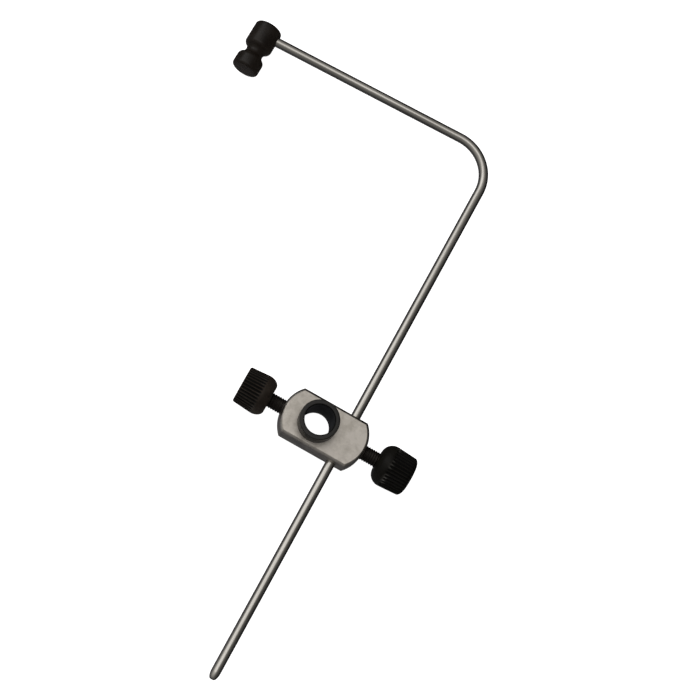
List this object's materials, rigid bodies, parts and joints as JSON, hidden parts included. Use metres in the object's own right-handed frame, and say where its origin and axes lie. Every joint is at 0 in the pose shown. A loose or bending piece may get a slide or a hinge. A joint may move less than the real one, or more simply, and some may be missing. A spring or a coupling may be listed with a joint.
{
  "type": "bobbin holder",
  "caption": "Clamp-on cradle for a fly tying bobbin: a block with a lined stem bore, an L-shaped wire rod with a rubber spool on its end, and knurled thumbscrews.",
  "frame": {"origin": "on the axis of the stem bore, half way up the clamp block", "axes": "+Z along the stem bore towards the bush's raised end, +X along the block towards the rod and its clamp screw, +Y along the rod's leg towards its bend"},
  "size_m": [0.1158, 0.1958, 0.0167],
  "materials": {
    "block_metal": "satin, ground faces with broken edges",
    "rod_steel": "satin, drawn lengthwise",
    "black_plastic": "matte, turned",
    "black_rubber": "matte with a soft sheen",
    "black_grip": "satin, straight ribs",
    "black_steel": "blackened, threaded"
  },
  "bodies": {
    "clamp": {"clamp_block": "block_metal", "stem_bush": "black_plastic"},
    "leg": {"rod_leg": "rod_steel"},
    "arm": {"rod_arm": "rod_steel", "cradle": "black_rubber"},
    "stem_stud": {"stem_screw_stud": "black_steel"},
    "stem_head": {"stem_screw_head": "black_grip"},
    "rod_stud": {"rod_screw_stud": "black_steel"},
    "rod_head": {"rod_screw_head": "black_grip"}
  },
  "joints": [
    {"name": "rod_slide", "type": "slide", "parent": "clamp", "child": "leg", "axis": [0, 1, 0], "range_m": [-0.0855, 0.073]},
    {"name": "rod_turn", "type": "hinge", "parent": "leg", "child": "arm", "pos_m": [0.0098, 0.0958, 0], "axis": [0, 1, 0], "continuous": true},
    {"name": "stem_screw_travel", "type": "slide", "parent": "clamp", "child": "stem_stud", "axis": [1, 0, 0], "range_m": [-0.004, 0.0044]},
    {"name": "stem_screw_turn", "type": "hinge", "parent": "stem_stud", "child": "stem_head", "pos_m": [-0.01645, 0, 0], "axis": [1, 0, 0], "range_deg": [-1800, 1980]},
    {"name": "rod_screw_travel", "type": "slide", "parent": "clamp", "child": "rod_stud", "axis": [1, 0, 0], "range_m": [0, 0.004]},
    {"name": "rod_screw_turn", "type": "hinge", "parent": "rod_stud", "child": "rod_head", "pos_m": [0.02235, 0, 0], "axis": [1, 0, 0], "range_deg": [0, 1800]}
  ],
  "couplings": [
    {"joint": "stem_screw_turn", "follows": "stem_screw_travel", "rad_per_m": 7853.9},
    {"joint": "rod_screw_turn", "follows": "rod_screw_travel", "rad_per_m": 7853.9}
  ]
}
